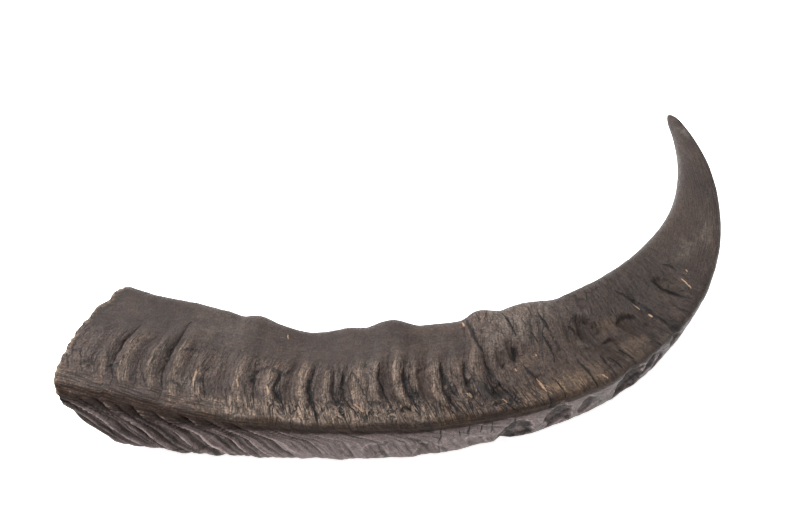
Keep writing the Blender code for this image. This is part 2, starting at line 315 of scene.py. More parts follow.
def middle_line(share, horn, steps=600):
    """Points of the middle line and its unit direction there."""
    s = np.linspace(0.0, 1.0, steps + 1)
    heading = np.radians(BASE_HEADING + TURN[0] * s + TURN[1] * s ** 2 + TURN[2] * s ** 3)
    line = np.zeros((steps + 1, 3))
    for axis, pace in enumerate((np.cos(heading), np.sin(heading))):
        run = np.cumsum((pace[1:] + pace[:-1]) / 2) * horn.length / steps
        line[:, axis] = BASE_PLACE[axis] + np.concatenate([[0.0], run])
    risen = np.clip((s - RISE_START) / (1 - RISE_START), 0, None) ** RISE_POWER
    line[:, 2] = half_sizes(s, horn)[1] - REST_FLAT + horn.tip_rise * risen
    along = np.gradient(line, axis=0)
    along[:, 2] *= unit((s - UPRIGHT_UNTIL) / (LEANS_FROM - UPRIGHT_UNTIL))

    def at_share(values):
        return np.stack([np.interp(share, s, values[:, k]) for k in range(3)], -1)

    direction = at_share(along)
    return at_share(line), direction / np.linalg.norm(direction, axis=-1, keepdims=True)


def section(share, angle, half_width, half_thickness):
    """Offsets out of the bend and up round the section, and the keel's angle, in degrees."""
    top = np.radians(straight_through(TOP_SLOPE, share))
    keel = np.radians(straight_through(KEEL_LEAN, share))
    top_reach = half_thickness * np.cos(top) - TOP_PIVOT * half_width * np.sin(top)
    keel_reach = KEEL_REACH * half_width * np.cos(keel)
    meet = np.sin(top) * np.sin(keel) + np.cos(top) * np.cos(keel)
    keel_out = (top_reach * np.sin(keel) + keel_reach * np.cos(top)) / meet
    keel_up = (top_reach * np.cos(keel) - keel_reach * np.sin(top)) / meet
    keel_angle = np.arctan2(keel_up / half_thickness, keel_out / half_width)
    corner = CORNER_REACH * np.hypot(half_width, half_thickness)
    faces = ((math.pi / 2 - top, top_reach), (-keel, keel_reach),
             (-math.pi / 2, half_thickness), (math.pi, half_width),
             (math.radians(135), corner), (math.radians(225), corner))
    bearing = np.arctan2(np.sin(angle) * half_thickness, np.cos(angle) * half_width)
    from_keel = np.degrees((angle - keel_angle + math.pi) % (2 * math.pi) - math.pi)
    crisp = np.exp(-(from_keel / KEEL_SPREAD) ** 2)
    crisp = crisp * unit((KEEL_GONE - share) / (KEEL_GONE - KEEL_SOFTENS))
    power = ROUNDNESS + KEEL_CRISPNESS * crisp * (0.25 + 0.75 * ease(share, 0.05, 0.28))
    total = sum((np.clip(np.cos(bearing - face), 0, None) / reach) ** power
                for face, reach in faces)
    radius = total ** (-1 / power)
    return radius * np.cos(bearing), radius * np.sin(bearing), np.degrees(keel_angle)


# ---- Relief ----

def lumps(spots, size, depth=3):
    """Smooth random lumps between about -1 and 1, with features about size across."""
    values = [noise.fractal(Vector(spot) / size, 1.0, 2.0, depth,
                            noise_basis="PERLIN_ORIGINAL") for spot in spots.reshape(-1, 3)]
    return np.array(values).reshape(spots.shape[:-1])


def swells(share, angle):
    """Height of the broad swells and hollows."""
    height = np.zeros(share.shape)
    for at, reach, bearing, spread, rise in SWELLS:
        height += (rise * bell((share - at) / reach)
                   * bell(turn_from(angle, bearing) / spread))
    return height * MM


def growth_sweep(angle, keel):
    """How far a growth line has run towards the tip at an angle."""
    degrees = turn_from(angle, 0)
    below = keel - degrees
    sweep = UPPER_SWEEP * ease(degrees, 74, 135)
    sweep += LOWER_SWEEP * (1 - ease(np.maximum(degrees, keel), 12, 56))
    sweep += FACE_SWEEP * ease(below, 0, 28) + UNDER_SWEEP * ease(below, 20, 70)
    under = LOWER_SWEEP + FACE_SWEEP + UNDER_SWEEP - UPPER_SWEEP
    return sweep - under * ease(-degrees, 90, 175)


def dents(share, angle, warp, ragged):
    """Ragged bites, steep towards the base, and how much painted shade each one gets."""
    depth, shade = np.zeros(share.shape), np.zeros(share.shape)
    for at, reach, bearing, spread, deep in DENTS:
        off = (share + warp - at) / reach
        turn = turn_from(angle, bearing) / spread
        wall = np.where(off < 0, off * 1.4, off)
        within = 1 - wall * wall - turn * turn
        within = np.clip(within + ragged * ease(within, -0.9, 0.2), 0, None)
        hollow = ease(within, 0.0, 0.75)
        depth = np.maximum(depth, deep * hollow)
        dark = min(deep / DARK_DENT, 1.0)
        full = 0.6
        if bearing > ABOVE_KEEL:
            dark *= 1 - 0.6 * ease(off + 0.5 * turn, -0.2, 0.6)
            full = 0.3
        shade = np.maximum(shade, dark * ease(within, 0.0, full))
    return depth * MM, shade


def across_upper_face(angle, low, high):
    """1 over a stretch of the upper face, fading out towards low and high."""
    degrees = turn_from(angle, 0)
    return ease(degrees, low, low + 16) * (1 - ease(degrees, high - 34, high))


def groove_line(at, low, high, extra, angle):
    """Where a groove runs, along the growth lines, with its lower end hooked."""
    return at + extra * (1 - ease(turn_from(angle, 0), low, (low + high) / 2)) ** 1.5


def ribs_and_grooves(grown, angle, horn):
    """The upper face's ribs, steep towards the base, and the grooves between them."""
    height = np.zeros(grown.shape)
    for at, reach, rise, low, high in RIBS:
        off = (grown - at) / reach
        steep = np.where(off < 0, off * 1.5, off * 0.62)
        height += rise * bell(steep) * across_upper_face(angle, low, high)
    for at, reach, depth, low, high, extra, _ in GROOVES:
        off = (grown - groove_line(at, low, high, extra, angle)) / reach
        if reach < BASIN_WIDTH:
            valley = unit(1 - np.abs(off)) ** 1.4
        else:
            valley = 1 - ease(np.where(off < 0, -off * 1.3, off), 0.25, 1.0)
        height -= depth * valley * across_upper_face(angle, low, high)
    return height * MM * horn.rib_height


def flutes(grown, share, angle, keel):
    """Height of the keel face's slanting flutes and fine ripples, and their painted light: sheen
    along each top and shade in each valley.
    """
    below = keel - turn_from(angle, 0)
    reach = ease(below, 2, 12) * (1 - ease(below, 36, 72)) * (1 - ease(share, 0.46, 0.62))
    reach = reach * (2.1 - 1.5 * ease(share, 0.1, 0.3))
    reach = reach * (0.35 + 0.65 * ease(share, 0, 0.05))
    height, lit = np.zeros(share.shape), np.zeros(share.shape)
    for at, depth in FLUTES:
        off = (grown - at) / FLUTE_WIDTH
        height += depth * (0.6 * bell((off - 0.9) / 1.1) - 0.8 * bell(off * 1.6))
        strength = min(depth / DEEP_FLUTE, 1.0)
        lit += strength * (bell((off - 0.75) / 0.75) - bell(off * 2.2)
                           - 0.7 * bell((off + 1.1) / 1.1))
    ripple = np.sin(2 * math.pi * grown / RIPPLE_PITCH)
    calmer = 1 - 0.45 * ease(share, 0.15, 0.45)
    height += RIPPLE_HEIGHT * ripple * calmer
    lit += 0.35 * ripple
    return height * MM * reach, lit * unit(reach) * calmer


def growth_steps(share, angle):
    """Low saw-tooth steps round the back and the inner edge."""
    where = 1 - ease(np.abs(turn_from(angle, BACK_ANGLE)), 26, 52)
    slant = share + 0.014 * np.sin(angle + 0.6) * (1 - ease(share, 0.3, 0.6))
    height = np.zeros(share.shape)
    for at, rise in STEPS:
        after = slant - at
        height += rise * (1 - ease(after, 0, STEP_LENGTH)) * ease(after, 0, 0.004)
    return height * MM * where


def keep_nearer(off, ends, width, gap, show):
    """Puts a mark's distance and half width into gap and show where it is the nearest."""
    near = (ends > 0) & (np.abs(off) < np.abs(gap))
    fade = 1 - ease(np.abs(off), *MARK_FADES)
    return np.where(near, off, gap), np.where(near, width * np.sqrt(ends) * fade, show)


def groove_cracks(grown, angle, gap, show, wander):
    """Adds the grooves' own cracks to gap and show."""
    degrees = turn_from(angle, 0)
    for at, _, _, low, high, extra, width in GROOVES:
        if width > 0:
            off = (grown - groove_line(at, low, high, extra, angle)) * SURFACE_LENGTH / MM
            ends = unit(np.minimum(degrees - low - 4, high - 12 - degrees) / 14)
            gap, show = keep_nearer(off + wander, ends, width, gap, show)
    return gap, show


def nearest_mark(marks, share, angle, wander):
    """Signed gap, in mm along the horn, to the nearest mark of a list, and how much of it
    shows there: its half width, fading at its ends and away from it."""
    degrees = turn_from(angle, 0)
    gap, show = np.full(share.shape, NO_MARK), np.zeros(share.shape)
    for upper, high, lower, low, bow, width in marks:
        down = (high - degrees) / (high - low)
        line = upper + (lower - upper) * down + bow * 4 * down * (1 - down)
        ends = unit(np.minimum(down, 1 - down) * 4)
        off = (share - line) * SURFACE_LENGTH / MM + wander
        gap, show = keep_nearer(off, ends, width, gap, show)
    return gap, show


# ---- The sheath's surface ----

def sheath_rows(horn):
    """Each row's share, and whether it lies in the hollow, on the edge or outside."""
    hollow = HOLLOW_END * np.sin(np.linspace(math.pi / 2, 0, horn.hollow_rows))
    carved = np.linspace(0, CARVED_TO, horn.carved_rows)
    towards_tip = np.sin(np.linspace(0, math.pi / 2, horn.tip_rows + 1)[1:])
    share = np.concatenate([hollow, [0.0], carved, CARVED_TO + (1 - CARVED_TO) * towards_tip])
    inside = np.zeros(len(share))
    inside[:horn.hollow_rows] = IN_HOLLOW
    inside[horn.hollow_rows] = ON_EDGE
    return share, inside


def frame_at(share, horn):
    """The middle line's points and the section's outward, upward and lengthwise directions."""
    centre, along = middle_line(share, horn)
    out = np.stack([along[..., 1], -along[..., 0], np.zeros(share.shape)], -1)
    out /= np.linalg.norm(out, axis=-1, keepdims=True)
    up = np.cross(out, along)
    roll = np.radians(straight_through(ROLL, share))[..., None]
    out, up = out * np.cos(roll) + up * np.sin(roll), up * np.cos(roll) - out * np.sin(roll)
    return centre, out, up, along


def sheath_surface(horn):
    """The grid's points, how the surface lies in metres, and the marks that the points
    carry, as arrays of rows by columns."""
    row_share, row_inside = sheath_rows(horn)
    columns = np.linspace(SEAM_ANGLE, SEAM_ANGLE + 360, horn.columns + 1)
    share, angle = np.meshgrid(row_share, np.radians(columns), indexing="ij")
    inside = np.repeat(row_inside[:, None], len(columns), axis=1)
    half_width, half_thickness = half_sizes(share, horn)
    far_out, far_up, keel = section(share, angle, half_width, half_thickness)
    centre, out, up, along = frame_at(share, horn)
    plain = centre + far_out[..., None] * out + far_up[..., None] * up
    lumpy = lumps(plain, BROAD), lumps(plain, MIDDLING), lumps(plain, FINE, 2)
    for noises in lumpy:
        noises[:, -1] = noises[:, 0]
    sweep = growth_sweep(angle, keel)
    proud, marks = relief(share, angle, keel, sweep, lumpy, horn)

    wall = horn.rim_wall + (WALL_DEEP - horn.rim_wall) * unit(share / WALL_GROWS_BY)
    closing = np.sqrt(unit(1 - (share / HOLLOW_END) ** 2.2))
    radius = np.hypot(far_out, far_up)
    hollowed = (closing * (1 - inside * wall / radius)
                * (1 + 0.0005 * (lumpy[0] + lumpy[2]) / radius))
    within = np.where(inside == IN_HOLLOW, hollowed, 1 + (proud - wall * inside) / radius)
    within = within * np.sqrt(unit(1 - (unit(share - TIP_ROUND) / (1 - TIP_ROUND)) ** 2))

    bearing = np.arctan2(far_up / half_thickness, far_out / half_width)
    retreat = smooth_through(RIM_RETREAT, np.degrees(bearing))
    retreat = retreat * unit(1 - share / SLANT_REACH) ** 1.5
    retreat = np.where(inside == IN_HOLLOW, retreat * closing, retreat)
    ragged = rim_raggedness(plain[horn.hollow_rows], horn)
    ragged = ragged * (0.3 + 0.7 * ease(columns, -10, 20))
    retreat += ragged[None, :] * (1 - ease(share, 0.0, 0.028))
    retreat -= np.where(inside == ON_EDGE, wall * 0.22, 0)

    spots = (centre + (far_out * within)[..., None] * out + (far_up * within)[..., None] * up
             + retreat[..., None] * along)
    spots[..., 2] = np.maximum(spots[..., 2], 0.0)

    reach = np.cumsum(np.linalg.norm(np.diff(spots, axis=1), axis=-1), axis=1)
    reach = np.concatenate([np.zeros((len(row_share), 1)), reach], axis=1)
    keel_column = np.argmin(np.abs(turn_from(angle, 0) - keel), axis=1)
    round_way = reach - reach[np.arange(len(row_share)), keel_column][:, None]
    marks["inside"] = unit(inside * 2)
    return spots, np.stack([round_way, (share - sweep) * SURFACE_LENGTH], -1), marks


def relief(share, angle, keel, sweep, lumpy, horn):
    """How proud the surface stands of its plain section, and the marks that it carries."""
    broad, middling, fine = lumpy
    degrees = turn_from(angle, 0)
    turned = (degrees - SEAM_ANGLE) % 360 + SEAM_ANGLE
    below_keel = (keel - degrees) % 360
    above_keel = degrees - keel
    grown = share - sweep + (0.0016 * middling + 0.003 * broad)
    wander = 0.8 * fine + 1.4 * middling + 1.0 * broad

    carved = ribs_and_grooves(grown, angle, horn)
    fluted, flute_light = flutes(grown, share, angle, keel)
    carved += fluted + growth_steps(share, angle)
    bitten, bite_shade = dents(share, angle, 0.004 * middling, 0.6 * middling + 0.35 * fine)
    undercut = (ease(below_keel, 1, 5) * (1 - ease(below_keel, 7, 14))
                * ease(share, 0.12, 0.24) * (1 - ease(share, 0.44, 0.56)))
    crack_gap, crack_show = nearest_mark(CRACKS, share, angle, wander)
    crack_gap, crack_show = groove_cracks(grown, angle, crack_gap, crack_show, wander)
    scar_gap, scar_show = nearest_mark(SCARS, share, angle, wander)
    opened = bell(np.abs(crack_gap) / np.maximum(crack_show * 2.2, 1e-3)) * (crack_show > 0)

    calm = 1 - 0.75 * ease(share, 0.68, 0.8)
    rough = 0.5 + 0.5 * np.maximum(ease(turned, 100, 60), ease(turned, 190, 240))
    uneven = 0.8 * broad + (0.6 * middling + 0.36 * fine) * rough
    proud = (swells(share, angle) + carved - bitten
             + (uneven * calm - UNDERCUT * undercut) * MM
             - horn.crack_depth * opened * crack_show / ORDINARY_CRACK)
    marks = dict(
        share=share,
        from_keel=above_keel / 100,
        under=(ease(below_keel, 5, 13) * (1 - ease(below_keel, 70, 160))
               * (1 - 0.6 * ease(share, 0.66, 0.84))),
        crest=unit(carved / (2.4 * MM)),
        groove=unit(-carved / (3.2 * MM)),
        # How much painted shade each dent gets.
        bite=unit(bite_shade),
        crack_gap=crack_gap,
        crack_show=crack_show,
        scar_gap=scar_gap,
        scar_show=scar_show,
        edge=1 - ease(share, 0.0, 0.007),
        lengthwise=lengthwise(share, turned, keel),
        # Painted sheen on the flutes' tops and painted shade in their valleys.
        flute=flute_light,
        quiet=ease(turned, 80, 98) * inner_side(share, turned),
        dust=patches(DUSTY, share, degrees),
        umber=patches(UMBER, share, degrees),
        busy=busy_zone(share, degrees, keel),
        shoulder=(ease(above_keel, 1, 6) * (1 - ease(above_keel, 14, 26))
                  * ease(share, 0.13, 0.22) * (1 - ease(share, 0.3, 0.48))))
    return proud, marks


def rim_raggedness(rim, horn):
    """How far the broken edge falls short at each column."""
    chips = np.clip(lumps(rim, CHIP, 3) + 0.25, 0, None)
    nicks = np.clip(lumps(rim + 0.5, NICK, 2), 0, None)
    short = 0.002 * chips + 0.002 * nicks
    short[-1] = short[0]
    return (short - 0.003) * horn.rim_break


def inner_side(share, turned):
    """1 as far as the quiet inner side goes, up to the great crack."""
    return (1 - ease(turned, *INNER_SIDE)) * (1 - ease(share, 0.43, 0.46))


def lengthwise(share, turned, keel):
    """Where fibres run along the horn: the keel near the base, the inner side, the tip."""
    off = turned - keel
    by_keel = ease(off, -14, -2) * (1 - ease(off, 12, 26)) * (1 - ease(share, 0.1, 0.24))
    inner = ease(turned, 84, 100) * inner_side(share, turned)
    return np.maximum(np.maximum(by_keel, inner), ease(share, 0.66, 0.8))


def busy_zone(share, degrees, keel):
    """Where wavy lamellae show: along the shoulder above the keel and round the ribs."""
    off = degrees - keel
    shoulder = ease(off, -3, 3) * (1 - ease(off, 14, 30)) * ease(share, 0.12, 0.24)
    ribs = ease(degrees, 22, 36) * (1 - ease(degrees, 74, 100)) * ease(share, 0.02, 0.06)
    return (0.9 * shoulder + 0.5 * ribs) * (1 - ease(share, 0.47, 0.56))


def patches(spots, share, degrees):
    """Soft patches, from a list of share, reach, angle, spread and strength."""
    pale = np.zeros(share.shape)
    for at, reach, bearing, spread, much in spots:
        pale = np.maximum(pale, much * bell((share - at) / reach)
                          * bell((degrees - bearing) / spread))
    return pale


# ---- Materials ----

class Nodes:
    """Short calls that add shader nodes to one material.  A value is a number or a socket."""

    def __init__(self, material):
        material.use_nodes = True
        self.tree = material.node_tree
        self.shader = self.tree.nodes["Principled BSDF"]

    def add(self, kind, **settings):
        node = self.tree.nodes.new("ShaderNode" + kind)
        for key, value in settings.items():
            setattr(node, key, value)
        return node

    def join(self, value, socket):
        if isinstance(value, bpy.types.NodeSocket):
            self.tree.links.new(value, socket)
        else:
            socket.default_value = value

    def math(self, operation, first, second=0.0, clamp=False):
        node = self.add("Math", operation=operation, use_clamp=clamp)
        self.join(first, node.inputs[0])
        self.join(second, node.inputs[1])
        return node.outputs[0]

    def chain(self, operation, value, others):
        for other in others:
            value = self.math(operation, value, other)
        return value

    def times(self, value, *others):
        return self.chain("MULTIPLY", value, others)

    def plus(self, value, *others):
        return self.chain("ADD", value, others)

    def less(self, value, *others):
        return self.chain("SUBTRACT", value, others)

    def without(self, value):
        """1 less the value."""
        return self.less(1.0, value)

    def off_middle(self, value):
        """How far the value is from a half."""
        return self.math("ABSOLUTE", self.less(value, 0.5))

    def ramp(self, value, low, high, to_low=0.0, to_high=1.0):
        """A soft step of value from to_low to to_high."""
        node = self.add("MapRange", interpolation_type="SMOOTHSTEP")
        for socket, number in zip(node.inputs, (value, low, high, to_low, to_high)):
            self.join(number, socket)
        return node.outputs[0]

    def mix(self, share, first, second, blend="MIX"):
        node = self.add("Mix", data_type="RGBA", blend_type=blend)
        self.join(share, node.inputs[0])
        for value, socket in ((first, node.inputs[6]), (second, node.inputs[7])):
            is_socket = isinstance(value, bpy.types.NodeSocket)
            self.join(value if is_socket else (*value, 1.0), socket)
        return node.outputs[2]

    def attribute(self, name):
        return self.add("Attribute", attribute_name=name).outputs["Fac"]

    def stretched(self, vector, scale):
        node = self.add("Mapping")
        self.join(vector, node.inputs["Vector"])
        node.inputs["Scale"].default_value = scale
        return node.outputs[0]

    def noise(self, vector, scale, detail=4.0, rough=0.55, twist=0.0):
        node = self.add("TexNoise")
        self.join(vector, node.inputs["Vector"])
        for key, number in (("Scale", scale), ("Detail", detail), ("Roughness", rough),
                            ("Distortion", twist)):
            node.inputs[key].default_value = number
        return node.outputs[0]

    def bump(self, height, distance, normal=None):
        node = self.add("Bump")
        self.join(height, node.inputs["Height"])
        node.inputs["Distance"].default_value = distance
        if normal is not None:
            self.tree.links.new(normal, node.inputs["Normal"])
        return node.outputs[0]


def horn_patterns(n, marks):
    """The surface's marks and the random patterns that every part of the look draws on."""
    p = SimpleNamespace(**{name: n.attribute(name) for name in marks})
    place = n.add("TexCoord").outputs["Object"]
    lie = n.add("UVMap", uv_map="HornLie").outputs[0]
    p.grain = n.noise(place, 700.0, 3.0, 0.7)
    p.flakes = n.noise(place, 280.0, 4.0, 0.7)
    p.mottle = n.noise(place, 150.0, 5.0, 0.68, 0.4)
    p.patch = n.noise(place, 34.0, 4.0, 0.6)
    p.blotch = n.noise(place, 11.0, 3.0, 0.5)

    # Growth lines and lamellae run across the horn, and striae along it.
    growth = n.noise(n.stretched(lie, (48, 400, 1)), 1.0, 4.0, 0.62, 0.9)
    lamellae = n.noise(n.stretched(lie, (150, 1150, 1)), 1.0, 3.0, 0.6, 0.5)
    p.striae = n.noise(n.stretched(lie, (1000, 60, 1)), 1.0, 4.0, 0.62, 0.4)
    p.burl = n.noise(n.stretched(lie, (42, 150, 1)), 1.0, 2.0, 0.5, 0.8)
    across = n.without(p.lengthwise)
    p.fibre = n.mix(p.lengthwise, n.plus(n.times(growth, 0.45), n.times(lamellae, 0.55)),
                    p.striae)
    p.lines = n.times(n.ramp(n.off_middle(growth), 0.0, 0.022, 1.0, 0.0), across)
    folds = n.math("FRACT", n.times(p.burl, 7.0))
    p.rings = n.times(n.ramp(n.off_middle(folds), 0.26, 0.42), n.ramp(p.mottle, 0.36, 0.5),
                      p.busy)
    p.hairs = n.times(n.ramp(n.off_middle(lamellae), 0.0, 0.03, 1.0, 0.0),
                      n.ramp(p.mottle, 0.42, 0.56),
                      n.without(n.math("MAXIMUM", p.lengthwise, p.under)))
    p.checks = n.times(hairline_net(n, p, lie), n.ramp(p.patch, 0.44, 0.56), across)

    # The dark band just below the keel, which widens away from the base: partly painted shade
    # under the keel's overhang, partly dirt.
    p.near_base = n.ramp(p.share, 0.1, 0.24, 1.0, 0.0)
    edge = n.plus(p.from_keel, n.times(n.less(p.patch, 0.5), 0.12))
    low_edge = n.less(edge, n.ramp(p.share, 0.1, 0.26, -0.15, -0.095))
    p.band = n.times(n.ramp(low_edge, -0.02, 0.01), n.ramp(edge, 0.07, 0.01),
                     n.ramp(p.share, 0.62, 0.5))
    return p


def hairline_net(n, p, lie):
    """A net of hairline checks, long across the horn."""
    jitter = n.add("VectorMath", operation="SCALE")
    n.join(n.mix(1.0, p.mottle, p.flakes, "ADD"), jitter.inputs[0])
    jitter.inputs["Scale"].default_value = 0.004
    jittered = n.add("VectorMath", operation="ADD")
    n.join(lie, jittered.inputs[0])
    n.join(jitter.outputs[0], jittered.inputs[1])
    net = n.add("TexVoronoi", feature="DISTANCE_TO_EDGE")
    n.join(n.stretched(jittered.outputs[0], (34, 105, 1)), net.inputs["Vector"])
    net.inputs["Scale"].default_value = 1.0
    return n.ramp(net.outputs["Distance"], 0.015, 0.055, 1.0, 0.0)


def body_colour(n, p, looks):
    """Clean keratin, the face below the keel with its flutes, which carry painted sheen on their
    tops and painted shade in their valleys, and the keel at the base.
    """
    colour = n.mix(n.ramp(p.patch, 0.36, 0.66), looks.body_dark, looks.body)
    warm = n.times(n.ramp(p.blotch, 0.45, 0.7), n.ramp(p.quiet, 0.0, 1.0, 0.5, 0.1))
    colour = n.mix(warm, colour, looks.body_warm)
    colour = n.mix(n.times(p.under, 0.85), colour, looks.keel_face)
    umber = n.times(p.umber, n.ramp(p.mottle, 0.35, 0.6, 0.25, 0.9))
    colour = n.mix(umber, colour, looks.umber)
    threads = n.times(p.near_base, n.ramp(p.from_keel, 0.3, 0.04),
                      n.ramp(p.striae, 0.4, 0.6, 0.95, 0.3),
                      n.ramp(p.from_keel, -0.16, -0.1))
    colour = n.mix(threads, colour, looks.keel_brown_and_shade)
    # Painted shade in the flutes' valleys, then painted sheen on their tops.
    colour = n.mix(n.ramp(p.flute, 0.0, -0.6, 0.0, 0.72), colour, looks.keel_brown_and_shade)
    return n.mix(n.ramp(p.flute, 0.2, 0.8, 0.0, 0.85), colour, looks.painted_sheen)


def worn_colour(n, p, looks, colour):
    """Adds rubbed crests, dust, the pale shoulder above the keel, and tan flecks."""
    rubbed = n.times(n.ramp(p.crest, 0.3, 0.95), n.ramp(p.fibre, 0.4, 0.6, 0.3, 1.0),
                     n.without(p.under), 0.52)
    colour = n.mix(rubbed, colour, looks.crest)
    dust = n.times(p.dust, n.ramp(p.mottle, 0.38, 0.62, 0.1, 1.0), 0.65)
    colour = n.mix(dust, colour, looks.dust)
    worn = n.times(p.shoulder, n.ramp(p.fibre, 0.42, 0.58, 0.15, 0.7))
    colour = n.mix(worn, colour, looks.crest)
    by_keel = n.times(n.ramp(p.from_keel, -0.06, 0.03), n.ramp(p.from_keel, 0.34, 0.12), 0.7)
    flecks = n.times(n.ramp(p.flakes, 0.56, 0.66), n.ramp(p.patch, 0.38, 0.58),
                     n.ramp(p.share, 0.46, 0.56, 1.0, 0.25), n.plus(by_keel, 0.3), 0.45)
    return n.mix(flecks, colour, looks.tan)


def toned_colour(n, p, colour):
    """Darkens and lightens by mottling, grain, growth lines and rings, and dims the inner
    side and the tip, which the light reaches most."""
    calm = n.without(n.math("MAXIMUM", n.times(p.quiet, 0.5), n.times(p.under, 0.45)))
    speckle = n.times(n.ramp(p.grain, 0.32, 0.68, -0.5, 0.6), calm,
                      n.ramp(p.share, 0.46, 0.6, 1.0, 0.55))
    by_keel = n.times(p.lengthwise, n.ramp(p.from_keel, 0.4, 0.22, 0.0, 1.6))
    streak = n.times(n.ramp(p.fibre, 0.36, 0.64, -0.16, 0.18), n.plus(by_keel, 1.0))
    tone = n.times(n.ramp(p.mottle, 0.3, 0.72, 0.8, 1.24),
                   n.plus(speckle, 1.0), n.plus(streak, 1.0),
                   n.without(n.times(p.lines, 0.5)), n.without(n.times(p.rings, 0.7)),
                   n.ramp(p.share, 0.44, 0.68, 1.0, 0.48),
                   n.ramp(p.share, 0.08, 0.22, 0.88, 1.0),
                   n.ramp(p.quiet, 0.0, 1.0, 1.0, 0.58))
    return n.mix(1.0, colour, tone, "MULTIPLY")


def shaded_and_dirty_colour(n, p, looks, colour):
    """Adds the dark band below the keel, partly painted shade and partly dirt; dirt and painted
    shade in the grooves; painted shade in the dents, with a painted highlight on the rims of
    those below the keel; and dirt in the checks and hairs.
    """
    # The band below the keel: painted shade under the keel's overhang, and dirt.
    threads = n.mix(p.near_base, n.ramp(p.striae, 0.36, 0.64, 1.0, 0.74),
                    n.ramp(p.striae, 0.4, 0.58, 1.0, 0.4))
    band = n.times(p.band, threads, n.ramp(p.mottle, 0.34, 0.66, 0.98, 0.78))
    colour = n.mix(band, colour, looks.keel_brown_and_shade)
    # Dirt and painted shade in the grooves, darker where they are deeper.
    dirt_and_shade = n.plus(n.ramp(p.groove, 0.1, 0.6, 0.0, 0.22),
                  n.ramp(p.groove, 0.6, 0.95, 0.0, 0.28))
    colour = n.mix(n.times(dirt_and_shade, n.ramp(p.mottle, 0.3, 0.7, 1.0, 0.7)), colour, looks.dirt_and_shade)
    # Painted highlight on the rims of the dents below the keel.
    lip_highlight = n.times(n.ramp(p.bite, 0.0, 0.08), n.ramp(p.bite, 0.3, 0.12),
                  n.ramp(p.from_keel, 0.0, -0.1), n.ramp(p.mottle, 0.4, 0.6, 0.2, 0.7))
    colour = n.mix(lip_highlight, colour, looks.painted_sheen)
    # Painted shade inside the dents, fuller below the keel.
    shaded = n.times(n.ramp(p.bite, 0.1, 0.8), n.ramp(p.mottle, 0.36, 0.6, 1.0, 0.35),
                     n.ramp(p.from_keel, 0.15, 0.0, 0.7, 1.0))
    colour = n.mix(shaded, colour, looks.dirt_and_shade)
    colour = n.mix(n.times(p.checks, 0.75), colour, looks.dirt_and_shade)
    return n.mix(n.times(p.hairs, 0.55), colour, looks.dirt_and_shade)


def cracked_colour(n, p, looks, colour):
    """Adds the cracks, fine ones beside them, and the scars.  Their edges stay sharp
    whatever the mesh's pitch."""
    rough_edge = n.times(n.less(p.flakes, 0.5), 1.5)
    thick = n.ramp(p.mottle, 0.35, 0.62, 0.45, 1.5)
    crack = mark_mask(n, p.crack_gap, p.crack_show, rough_edge, thick)
    p.halo = mark_mask(n, p.crack_gap, p.crack_show, rough_edge, n.times(thick, 1.5))
    beside = n.math("FRACT", n.times(n.plus(p.crack_gap, n.times(p.burl, 3.0)), 0.42))
    beside = n.times(n.ramp(n.off_middle(beside), 0.36, 0.47),
                     n.ramp(p.crack_show, 0.1, 0.55), n.ramp(p.mottle, 0.42, 0.56), 0.45)
    colour = n.mix(beside, colour, looks.dirt_and_shade)
    colour = n.mix(n.times(p.halo, 0.22), colour, looks.dirt_and_shade)
    colour = n.mix(crack, colour, looks.crack)
    scar = mark_mask(n, p.scar_gap, p.scar_show, rough_edge, thick)
    return n.mix(scar, colour, n.mix(n.ramp(p.grain, 0.4, 0.7), looks.tan, looks.scar))


def mark_mask(n, gap, show, rough_edge, widen):
    """1 inside a crack or scar, from the gap to it and the half width that shows."""
    gap = n.math("ABSOLUTE", n.plus(gap, rough_edge))
    width = n.times(show, widen)
    mask = n.ramp(gap, n.plus(width, 0.01), n.times(width, 0.55))
    return n.math("MULTIPLY", mask, n.ramp(show, 0.02, 0.15), clamp=True)


def keratin_material(looks, marks):
    """Dry horn: dark grey with tan crests, grooves darkened by dirt and painted shade, painted
    shade in the dents, painted sheen on the flutes, a brown keel with a band of painted shade and
    dirt below it, cracks and scars.
    """
    material = bpy.data.materials.new("horn_keratin")
    n = Nodes(material)
    p = horn_patterns(n, marks)
    colour = worn_colour(n, p, looks, body_colour(n, p, looks))
    colour = shaded_and_dirty_colour(n, p, looks, toned_colour(n, p, colour))
    colour = cracked_colour(n, p, looks, colour)
    edge = n.times(p.edge, n.ramp(p.flakes, 0.42, 0.62), 0.75)
    colour = n.mix(edge, colour, looks.rim)
    hollow = n.mix(n.ramp(p.patch, 0.4, 0.65), looks.hollow, looks.hollow_light)
    n.join(n.mix(p.inside, colour, hollow), n.shader.inputs["Base Color"])

    satin = n.ramp(p.mottle, 0.3, 0.75, looks.roughness - 0.12, looks.roughness + 0.12)
    satin = n.less(n.plus(satin, n.times(p.groove, 0.15)), n.times(p.under, 0.16))
    satin = n.plus(satin, n.times(n.math("MAXIMUM", p.bite, p.band), 0.35))
    n.join(satin, n.shader.inputs["Roughness"])
    n.shader.inputs["Specular IOR Level"].default_value = looks.shine

    height = n.plus(n.times(p.fibre, 0.6), n.times(p.mottle, 0.9), n.times(p.flakes, 0.3))
    height = n.less(height, n.times(p.lines, 0.2), n.times(p.rings, 0.4),
                    n.times(p.checks, 0.4))
    normal = n.bump(height, looks.wrinkle_depth)
    normal = n.bump(p.grain, looks.grain_depth, normal)
    normal = n.bump(n.without(p.halo), looks.crack_bump, normal)
    n.join(normal, n.shader.inputs["Normal"])
    return material


